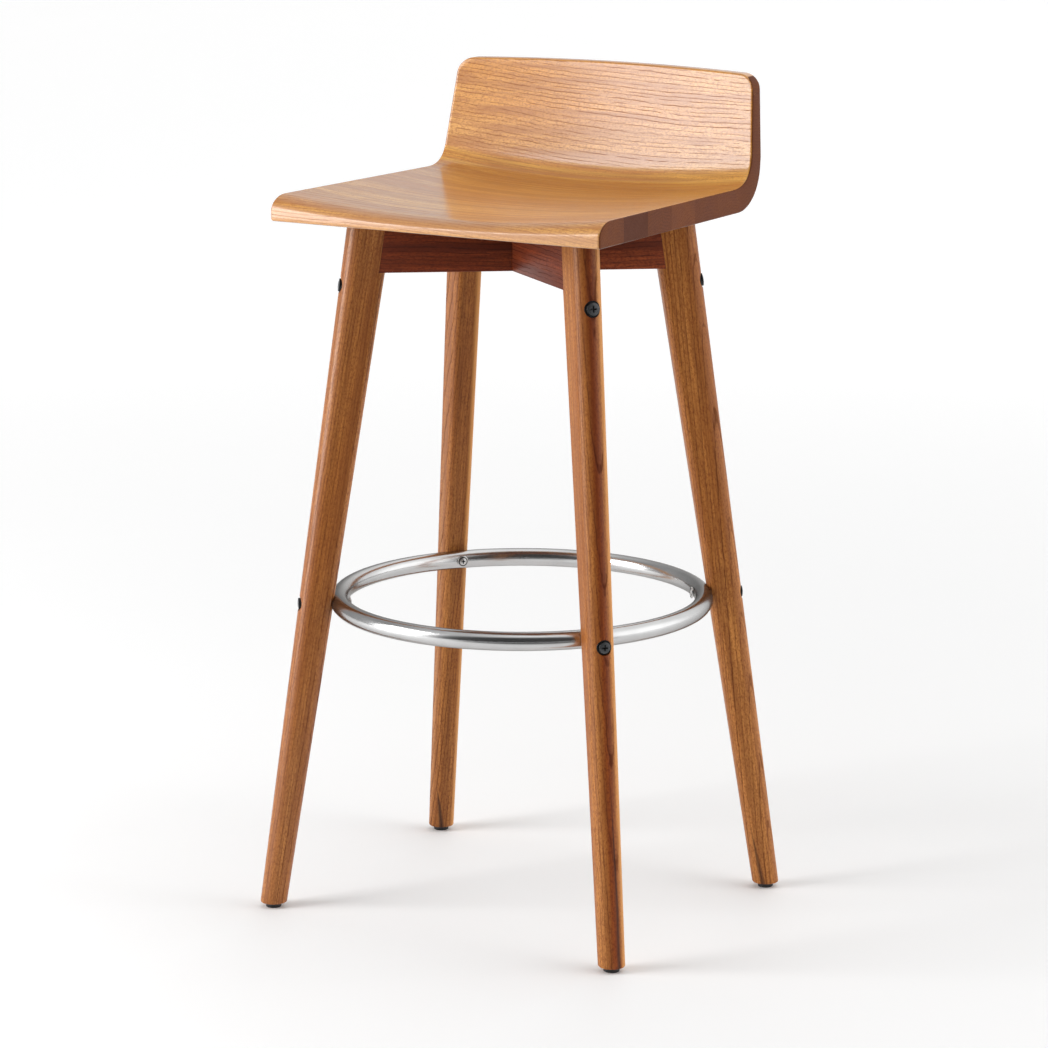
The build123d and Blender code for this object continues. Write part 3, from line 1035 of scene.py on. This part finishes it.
def year_rings(n, wood, along, first, second, shifted):
    """Year rings counted outwards from the pith, with slow bends and small waves."""
    sway = grain_noise(n, shifted, SWAY_CELLS, output="Color")
    sway_x, sway_y, _ = n.split(n.vector("SUBTRACT", sway, (0.5, 0.5, 0.5)))
    wave = (grain_noise(n, shifted, WAVE_CELLS, 1.0) - 0.5) * wood.wave_reach
    across = first + sway_x * wood.sway_reach + along * wood.lean[0] - wood.pith[0]
    deep = second + sway_y * wood.sway_reach + along * wood.lean[1]
    deep = deep + along * along * wood.bend - wood.pith[1]
    ring = (n.length(across, deep) + wave) / wood.spacing
    uneven = n.noise(n.join(ring * 0.33, 0.0, wood.seed), detail=1.0)
    return ring + uneven * UNEVEN_YEARS


def wood_finish(name, place, axis, wood):
    """Varnished open-pored wood with its grain along one axis of a placement."""
    n = Finish(name)
    x, y, z = n.split(n.place(place))
    along, first, second = {"X": (x, y, z), "Z": (z, x, y)}[axis]
    shift = (wood.seed * 3.1, wood.seed * 1.7, wood.seed * 2.3)
    shifted = n.vector("ADD", n.join(along, first, second), shift)
    ring = year_rings(n, wood, along, first, second, shifted)
    year_tone = n.chance(ring.floor() + wood.seed * 7.0)
    line = n.ramp(ring.fraction(), YEAR_LINE) * n.range(year_tone, 0, 1, 0.5, 1.0)
    # dark dashes of open pores, thickest in the first growth of each year
    dash = n.ease(grain_noise(n, shifted, DASH_CELLS, rough=0.6), 0.36, 0.52)
    pore = dash * n.range(line, 0.08, 0.62, 0.06, 1.0)
    stripe = grain_noise(n, shifted, STRIPE_CELLS, 3.0)
    speck = grain_noise(n, shifted, SPECK_CELLS, rough=0.6)
    fibre = grain_noise(n, shifted, FIBRE_CELLS, 3.0, 0.75)
    cloud = grain_noise(n, shifted, CLOUD_CELLS, rough=0.55)

    light, middle, dark, pore_tone = wood.tones
    base = n.mix(n.ease(cloud, 0.32, 0.68), middle, light)
    base = n.mix(n.ease(stripe, 0.38, 0.64, 0.0, wood.stripe_depth), base, dark)
    base = n.mix(line * wood.line_depth, base, dark)
    base = n.mix(n.range(fibre, 0.40, 0.68, 0.0, wood.fibre_depth), base, dark)
    base = n.mix(n.range(speck, 0.45, 0.66, 0.0, SPECK_DEPTH), base, dark)
    base = n.mix(pore * wood.pore_depth, base, pore_tone)
    if wood.marks:
        base = wood.marks(n, (x, y, z), shifted, base)
    open_grain = n.math("MAXIMUM", pore, speck * 0.6)
    n.set(
        Base_Color=base,
        Roughness=pore * PORE_ROUGHNESS + wood.gloss + (cloud - 0.5) * CLOUD_ROUGHNESS,
        Specular_IOR_Level=wood.shine,
        Coat_Weight=n.range(open_grain, 0.2, 1, wood.coat, 0),
        Coat_Roughness=wood.coat_rough,
        Coat_IOR=1.5,
    )
    n.bump(speck * 0.35 - pore, 0.00016, 0.5)
    return n.material


STAVE_TONE = (0.40, 0.13, 0.016)
BROAD_TONE = (0.48, 0.17, 0.026)
BEND_PALE = (0.97, 0.54, 0.085)
BEND_DEEP = (0.60, 0.22, 0.022)
UNDERSIDE_SHADE_TONE = (0.12, 0.042, 0.014)
NOSE_SHEEN_TONE = (0.96, 0.62, 0.38)


def stave_place(y):
    """Place from front to back, counted in staves."""
    return (y - FIRST_JOINT_Y * MM) / (STAVE_WIDTH * MM)


def stave_value(n, y):
    """Random value, 0 to 1, of the glued stave at a place from front to back."""
    return n.chance(stave_place(y).floor() + 3.0)


def above_dish(x, z):
    """Height above the dished top, in metres."""
    side = x / (FRONT_HALF_WIDTH * MM)
    return z - side * side * (SEAT_DISH * MM) - (SEAT_TOP - SEAT_DISH) * MM


def seat_marks_and_painted_light(n, spot, shifted, base):
    """Glued staves, streaks on the seat, bands in the bend, painted shade that darkens the
    underside, and a painted sheen that pales the nose.
    """
    x, y, z = spot
    base = n.mix(n.range(stave_value(n, y), 0, 1, 0.0, 0.45), base, STAVE_TONE)
    above = above_dish(x, z)
    broad = n.ease(grain_noise(n, shifted, (1.1, 42)), 0.47, 0.62, 0, 0.5)
    base = n.mix(broad * n.range(above, 0.004, 0.012, 1, 0), base, BROAD_TONE)
    in_bend = n.range(above, 0.0005, 0.004) * n.range(above, 0.016, 0.026, 1, 0)
    band = n.noise(n.join(x * 4, above * 190 + y * 90, 0.0), detail=3.0, rough=0.6)
    base = n.mix(n.range(band, 0.42, 0.66, 0, 0.4) * in_bend, base, BEND_PALE)
    base = n.mix(n.range(band, 0.34, 0.50, 0.6, 0) * in_bend, base, BEND_DEEP)
    # Painted shade: faces that point down are darkened towards the underside's shade tone.
    up = n.split(n.add("NewGeometry", output="Normal"))[2]
    base = n.mix(n.range(up, -0.95, -0.6, 0.85, 0.0), base, UNDERSIDE_SHADE_TONE)
    # Painted sheen: the front face of the nose is paled towards a pinkish tone, a painted
    # reflection of the light in front of the stool.
    wear_and_sheen = n.ease(y, (FRONT_Y + 0.5) * MM, (FRONT_Y + 5) * MM, 0.16, 0.0)
    return n.mix(wear_and_sheen, base, NOSE_SHEEN_TONE)


END_YEAR = 0.0032
END_PITH_DROP = 25.0
END_LIGHT = (0.19, 0.058, 0.018)
END_DARK = (0.090, 0.025, 0.009)
END_MOTTLE = (0.12, 0.04, 0.024)
END_LINE = (0.075, 0.023, 0.011)
END_SPECK = (0.07, 0.022, 0.014)


def end_grain(name):
    """Dark sawn ends of the seat's staves, each with arcs round its own pith."""
    n = Finish(name)
    place = n.place()
    _, y, z = n.split(place)
    value = stave_value(n, y)
    mottle = n.noise(place, (1, 60, 60))
    off = (stave_place(y).fraction() - value) * (STAVE_WIDTH * MM)
    over = z - (UNDERSIDE - END_PITH_DROP) * MM + mottle * 0.008
    years = (n.length(off, over) / END_YEAR).fraction()
    speck = n.noise(place, (1, 750, 750), rough=0.6)
    base = n.mix(value, END_DARK, END_LIGHT)
    base = n.mix(n.range(mottle, 0.35, 0.7, 0, 0.4), base, END_MOTTLE)
    base = n.mix(n.range(years, 0.4, 1.0, 0, 0.4), base, END_LINE)
    base = n.mix(n.range(speck, 0.45, 0.7, 0, 0.45), base, END_SPECK)
    n.set(
        Base_Color=base,
        Roughness=n.range(speck, 0.3, 0.7, 0.5, 0.65),
        Specular_IOR_Level=0.10,
    )
    n.bump(speck, 0.00010, 0.4)
    return n.material


HEART_TONE = (0.03, 0.009, 0.004)
CREST_SHADE_TINT = (0.58, 0.30, 0.12)
PAINTED_EDGE_LIGHT_TONE = (0.72, 0.33, 0.085)


@dataclass
class StreakShadeAndLight:
    """Marks on one face of a leg: a dark streak up from the foot, painted shade in a red band
    down the crest, and a painted lit edge.
    """

    offset: float  # middle of the streak at the foot, in metres
    slope: float
    width: float
    height: float
    depth: float
    face: tuple = ("X", 1)  # axis of the leg's placement and side of it
    # band: strength of the painted shade down the crest of the face
    band: float = 0.0
    # lit_edge: side of the face that gets a painted lit edge
    lit_edge: int = 0

    def __call__(self, n, spot, shifted, base):
        x, y, z = spot
        axis, side = self.face
        outwards, across = (x, y) if axis == "X" else (y, x)
        wander = (n.noise(shifted, (9, 3, 3), 1.0) - 0.5) * 0.006
        away = abs(across - (z * self.slope + self.offset + wander))
        spread = n.range(z, 0.0, self.height, 1.0, 0.12) * self.width
        near = n.math("SUBTRACT", 1.0, away / spread, use_clamp=True)
        fade = n.range(z, self.height * 0.7, self.height, 1, 0)
        on_face = n.range(outwards * side, -0.004, 0.002)
        near = n.math("POWER", near, 0.6) * fade * on_face * self.depth
        # Painted shade: a red band multiplied onto the crest darkens the middle of the face.
        band = n.ease(abs(y + 0.0005), 0.001, 0.0085, self.band, 0.0) * on_face
        base = n.mix(band, base, CREST_SHADE_TINT, "MULTIPLY")
        # Painted light: one edge of the face is paled, standing for light falling from that side.
        edge = n.range(y * self.lit_edge, 0.006, 0.0095, 0.0, 0.6)
        return n.mix(near, n.mix(edge, base, PAINTED_EDGE_LIGHT_TONE), HEART_TONE)


STEEL_EDGE = (0.42, 0.41, 0.40, 1)


def ring_lines(n, place):
    """Place on the footrest's tube, unrolled, and the noise cells of its brushing."""
    x, y, z = n.split(place)
    turn = n.math("ARCTAN2", y, x)
    side = n.math("ARCTAN2", z - RING_HEIGHT * MM, n.length(x, y) - RING_RADIUS * MM)
    unrolled = n.join(turn * (RING_RADIUS * MM), side * (RING_TUBE * MM), 0.0)
    return unrolled, (14, 1900, 1)


def steel(name, tone, rough, ring=False):
    """Polished steel with fine brushing."""
    n = Finish(name)
    place, cells = n.place(), (900, 900, 200)
    if ring:
        place, cells = ring_lines(n, place)
    lines = n.noise(place, cells, 3.0, 0.7)
    smear = n.range(n.noise(place, (30, 30, 30)), 0.3, 0.7)
    n.set(
        Base_Color=n.mix(smear, tone, tuple(0.9 * part for part in tone)),
        Roughness=n.range(lines, 0.3, 0.7) * 0.09 + rough,
        Metallic=1.0,
        Specular_Tint=STEEL_EDGE,
    )
    n.bump(lines, 0.00001, 0.25)
    return n.material


def speckled(name, tones, tone_noise, tone_range, rough_noise, rough_range, metallic, bump):
    """Plain finish: slow noise mixes two tones, and fine noise sets roughness and bump."""
    n = Finish(name)
    slow = n.noise(n.place(), *tone_noise)
    fine = n.noise(n.place(), *rough_noise)
    n.set(
        Base_Color=n.mix(n.range(slow, *tone_range), *tones),
        Roughness=n.range(fine, 0.3, 0.7, *rough_range),
        Metallic=metallic,
    )
    n.bump(fine, *bump)
    return n.material


def black_oxide(name, tone):
    wear_and_sheen = tuple(1.6 * part for part in tone)
    return speckled(name, (tone, wear_and_sheen), tone_noise=((160, 160, 160),), tone_range=(0.4, 0.75),
                    rough_noise=((700, 700, 700), 3.0), rough_range=(0.24, 0.42),
                    metallic=0.35, bump=(0.00002, 0.4))


def nylon(name):
    tones = ((0.008, 0.008, 0.009), (0.03, 0.03, 0.032))
    return speckled(name, tones, tone_noise=((120, 120, 400), 3.0), tone_range=(0.5, 0.8),
                    rough_noise=((900, 900, 900),), rough_range=(0.38, 0.55),
                    metallic=0.0, bump=(0.00003, 0.4))


def brass(name):
    tones = ((0.62, 0.44, 0.17), (0.75, 0.56, 0.25))
    turning = ((60, 60, 2400),)
    return speckled(name, tones, tone_noise=turning, tone_range=(0.3, 0.7),
                    rough_noise=turning, rough_range=(0.22, 0.36),
                    metallic=1.0, bump=(0.00002, 0.3))


def paint(obj, *materials):
    """Gives an object its materials, in the order of its faces' material numbers."""
    indices = [face.material_index for face in obj.data.polygons]
    obj.data.materials.clear()
    for material in materials:
        obj.data.materials.append(material)
    for face, index in zip(obj.data.polygons, indices):
        face.material_index = min(index, len(materials) - 1)


def add_piece(obj, node, slot_name, *materials):
    paint(obj, *materials)
    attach(obj, "root")
    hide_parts(node)


# -------- stool

# Light, middle, dark and pore tones
HONEY = ((0.94, 0.50, 0.108), (0.86, 0.395, 0.054), (0.42, 0.145, 0.016), (0.22, 0.060, 0.010))
BROWN = ((0.62, 0.250, 0.057), (0.48, 0.165, 0.029), (0.22, 0.058, 0.009), (0.09, 0.021, 0.004))
WALNUT = ((0.34, 0.074, 0.020), (0.26, 0.048, 0.012), (0.10, 0.016, 0.005), (0.04, 0.008, 0.004))

SEAT_WOOD = Wood(HONEY, (-0.30, 0.42), gloss=0.34, shine=0.5, coat=0.95, lean=(0, 0.065),
                 bend=0.19, seed=0.4, wave_reach=0.0015, stripe_depth=0.7, fibre_depth=0.4,
                 marks=seat_marks_and_painted_light)
LEG_LOOK = {"gloss": 0.46, "shine": 0.22, "coat_rough": 0.25, "pore_depth": 0.65,
            "sway_reach": 0.010, "wave_reach": 0.0012}
RAIL_LOOK = {"tones": WALNUT, "pith": (0.03, -0.10), "gloss": 0.40, "shine": 0.2, "coat": 0.04,
             "spacing": 0.0040, "stripe_depth": 0.8, "line_depth": 0.7}

FRONT_RIGHT_STREAK_SHADE_AND_LIGHT = StreakShadeAndLight(0.0035, -0.02, 0.0024, 0.20, 0.85, band=0.9, lit_edge=1)
BACK_RIGHT_STREAK = StreakShadeAndLight(-0.005, -0.06, 0.003, 0.07, 0.75, face=("Y", -1))
BACK_LEFT_STREAK_AND_LIGHT = StreakShadeAndLight(0.003, 0.15, 0.0035, 0.05, 0.9, face=("X", -1), lit_edge=-1)

# How light each leg's wood is, partly its own tone and partly painted shade on legs that stand
# less in the light, its coat, pith, lean and seed, and its marks
LEG_GRAIN_AND_SHADE = {
    "front_left": (1.0, 0.5, (-0.09, 0.05), (0.03, 0.01), 1.0, None),
    "front_right": (1.0, 0.14, (-0.10, -0.03), (0.02, -0.03), 2.3, FRONT_RIGHT_STREAK_SHADE_AND_LIGHT),
    "back_right": (0.95, 0.14, (0.05, -0.045), (-0.02, 0.05), 3.7, BACK_RIGHT_STREAK),
    "back_left": (0.82, 0.14, (-0.02, -0.06), (0.03, 0.06), 5.1, BACK_LEFT_STREAK_AND_LIGHT),
}

# Node, material and seed of each rail, its corner, the other rail's corner, and its notch
RAILS = (
    ("lower_cross_rail", "lower_rail_walnut", 8.2, "back_right", "front_right",
     RAIL_MIDDLE, UNDERSIDE + 5),
    ("upper_cross_rail", "upper_rail_walnut", 9.6, "front_right", "back_right",
     RAIL_UNDERSIDE - 5, RAIL_MIDDLE),
)


def add_seat():
    seat_wood = wood_finish("seat_oak", None, "X", SEAT_WOOD)
    add_piece(build_seat(), "seat_shell", "seat_wood", seat_wood, end_grain("seat_end_grain"))


def add_legs():
    for corner, (shade, coat, pith, lean, seed, marks) in LEG_GRAIN_AND_SHADE.items():
        # Painted shade, in part: scaling a leg's tones darkens the legs that stand less in the
        # light.
        tones = tuple(tuple(shade * part for part in tone) for tone in BROWN)
        look = Wood(tones, pith, coat=coat, lean=lean, seed=seed, marks=marks, **LEG_LOOK)
        leg_wood = wood_finish(f"leg_oak_{corner}", leg_place(corner), "Z", look)
        add_piece(build_leg(corner), f"leg_{corner}", "leg_wood", leg_wood)


def add_rails():
    for node, material, seed, corner, other, notch_low, notch_high in RAILS:
        rail_wood = wood_finish(material, rail_place(corner), "X", Wood(seed=seed, **RAIL_LOOK))
        rail = build_rail(f"{node}_oak", corner, other, notch_low, notch_high)
        add_piece(rail, node, "rail_wood", rail_wood)


def add_fasteners():
    """Bolts, nuts, screws and glides of each corner, and the inserts kept from the CAD."""
    # Black for the bolts, also used as painted shade in the recesses and the nut's groove.
    black_and_shade = black_oxide("black_oxide", (0.010, 0.010, 0.011))
    dark_steel = black_oxide("dark_steel", (0.050, 0.052, 0.054))
    plated = steel("plated_steel", (0.66, 0.66, 0.65), 0.26)
    zinc = steel("zinc_steel", (0.60, 0.61, 0.62), 0.26)
    black_nylon = nylon("black_nylon")
    insert_brass = brass("insert_brass")
    for corner in CORNERS:
        leg_bolt = build_bolt(f"leg_bolt_{corner}_black", leg_bolt_place(corner), LEG_BOLT)
        ring_bolt = build_bolt(f"ring_bolt_{corner}_black", ring_bolt_place(corner), RING_BOLT)
        add_piece(leg_bolt, f"leg_bolt_{corner}", "black_screws", dark_steel, black_and_shade)
        add_piece(ring_bolt, f"ring_bolt_{corner}", "black_screws", dark_steel, black_and_shade)
        add_piece(build_ring_nut(corner), f"ring_nut_{corner}", "plated_steel", plated, black_and_shade)
        add_piece(build_seat_screw(corner), f"seat_screw_{corner}", "zinc_screws", zinc)
        add_piece(build_glide(corner), f"glide_{corner}", "glide_plastic", black_nylon)
        add_piece(build_glide_screw(corner), f"glide_screw_{corner}", "zinc_screws", zinc)
        paint(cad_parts[f"tongue_insert_{corner}"], insert_brass)


def build_stool():
    add_seat()
    add_legs()
    add_rails()
    ring_steel = steel("ring_steel", (0.61, 0.61, 0.61), 0.16, ring=True)
    add_piece(build_ring(), "footrest_ring", "ring_steel", ring_steel)
    add_fasteners()


# -------- studio

CAMERA_AIM = Vector((0.0022, 0.0013, 0.3970))
CAMERA_AZIMUTH = 31.105
CAMERA_ELEVATION = 12.347
CAMERA_DISTANCE = 4.0968
CAMERA_LENS = 137.6
SENSOR_WIDTH = 36

LIGHT_AIM = Vector((0, 0, 0.5))
LIGHT_DISTANCE = 2.6

# Parts of the room that give less or more light: azimuth, elevation, inner and outer reach, level
ROOM_ZONES = (
    (28, 12, 38, 60, 0.05),
    (-100, 5, 35, 65, 0.35),
    (-55, 57, 15, 35, 0.6),
    (112, 12, 12, 42, 1.5),
)
ROOM_LEVEL = 1.18

PHOTOGRAPHER_AZIMUTH = 40
PHOTOGRAPHER_DISTANCE = 3.4
DARK_FLOOR = 0.10
DARK_FLOOR_REACH = (2.1, 2.8)
FLOOR_GLOW = (0.012, 0.30)
FLOOR_GLOW_REACH = (0.5, 3.6)
FLOOR_WHITE = ((0.85, 0.85, 0.85), (0.86, 0.86, 0.86))


def direction_at(azimuth, elevation):
    """Unit vector from the stool: azimuth 0 is the front, 90 is +X."""
    a, e = radians(azimuth), radians(elevation)
    return Vector((sin(a) * cos(e), -cos(a) * cos(e), sin(e)))


def aim_from(obj, target, towards, distance):
    """Stands an object off from the target and points it back there."""
    bpy.context.scene.collection.objects.link(obj)
    obj.location = target + towards * distance
    obj.rotation_euler = (-towards).to_track_quat("-Z", "Y").to_euler()


def build_camera():
    data = bpy.data.cameras.new("camera")
    data.lens = CAMERA_LENS
    data.sensor_width = SENSOR_WIDTH
    data.clip_end = 200
    camera = bpy.data.objects.new("camera", data)
    towards = direction_at(CAMERA_AZIMUTH, CAMERA_ELEVATION)
    aim_from(camera, CAMERA_AIM, towards, CAMERA_DISTANCE)
    bpy.context.scene.camera = camera


def softbox(name, azimuth, elevation, width, height, power, reflected=True):
    data = bpy.data.lights.new(name, "AREA")
    data.shape = "RECTANGLE"
    data.size, data.size_y, data.energy = width, height, power
    light = bpy.data.objects.new(name, data)
    light.visible_camera = False
    light.visible_glossy = reflected
    aim_from(light, LIGHT_AIM, direction_at(azimuth, elevation), LIGHT_DISTANCE)


def build_world():
    """Pale studio all round, with the dark of the room where the photographer stands."""
    world = bpy.data.worlds.new("studio")
    bpy.context.scene.world = world
    world.use_nodes = True
    n = Nodes(world.node_tree)
    direction = n.add("TexCoord", output="Generated")
    level = ROOM_LEVEL
    for azimuth, elevation, inner, outer, left in ROOM_ZONES:
        aim = n.vector("DOT_PRODUCT", direction, direction_at(azimuth, elevation))
        shade = n.ease(aim, cos(radians(outer)), cos(radians(inner)), 1.0, left)
        level = shade * level
    seen = n.add("LightPath", output="Is Camera Ray")
    background = n.tree.nodes["Background"]
    n.put(background.inputs["Strength"], n.math("MAXIMUM", level, seen))
    n.put(background.inputs["Color"], (1, 1, 1, 1))


def floor_paper():
    """White paper, with less light to give back where the photographer stands."""
    n = Finish("floor_paper")
    place = n.place()
    x, y, _ = n.split(place)
    dark_middle = direction_at(PHOTOGRAPHER_AZIMUTH, 0) * PHOTOGRAPHER_DISTANCE
    off_x, off_y, _ = n.split(n.vector("SUBTRACT", place, dark_middle))
    paper = n.ease(n.length(off_x, off_y), *DARK_FLOOR_REACH, DARK_FLOOR, 1.0)
    seen = n.add("LightPath", output="Is Camera Ray")
    paper = n.math("MAXIMUM", paper, seen)
    glow = n.range(n.length(x, y), *FLOOR_GLOW_REACH, *FLOOR_GLOW)
    n.set(
        Base_Color=n.mix(paper, (0, 0, 0), n.mix(n.noise(place, (3, 3, 3)), *FLOOR_WHITE)),
        Roughness=0.6,
        Specular_IOR_Level=0.1,
        Emission_Color=(1, 1, 1, 1),
        Emission_Strength=glow * paper,
    )
    return n.material


def build_floor():
    bm = bmesh.new()
    reach = 40.0 / MM
    corners = [(-reach, -reach, 0), (reach, -reach, 0), (reach, reach, 0), (-reach, reach, 0)]
    bm.faces.new([bm.verts.new(c) for c in corners])
    floor = new_object("floor", bm)
    paint(floor, floor_paper())


def build_studio():
    bpy.context.scene.view_settings.view_transform = "Standard"
    build_camera()
    build_world()
    softbox("key", -46, 15, 1.3, 2.2, 61)
    softbox("fill", 108, 12, 1.6, 2.2, 16, reflected=False)
    build_floor()


build_studio()
build_stool()
